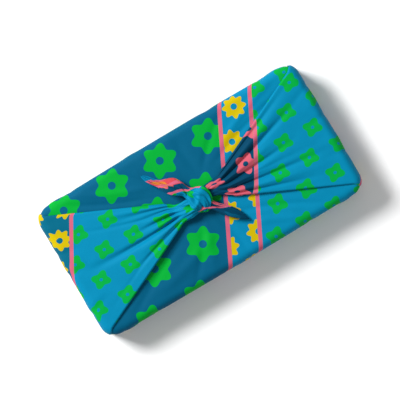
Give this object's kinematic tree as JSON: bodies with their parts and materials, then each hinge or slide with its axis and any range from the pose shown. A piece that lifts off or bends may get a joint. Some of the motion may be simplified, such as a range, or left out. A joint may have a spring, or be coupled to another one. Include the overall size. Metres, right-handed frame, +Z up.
{
  "type": "furoshiki wrap",
  "caption": "Cloth bundle: a square printed cloth wrapped round a flat, long box shape, its end flaps drawn up over the top and tied in a square knot with short free tails",
  "frame": {"origin": "bottom centre of the bundle, on the surface it rests on", "axes": "+X along the bundle, +Y across it towards the upper tail, +Z up out of its top"},
  "size_m": [0.2552, 0.1268, 0.0496],
  "materials": {
    "printed_cotton": "woven cotton, printed, matt with a soft sheen"
  },
  "bodies": {
    "root": {"furoshiki_cloth": "printed_cotton"}
  },
  "joints": []
}
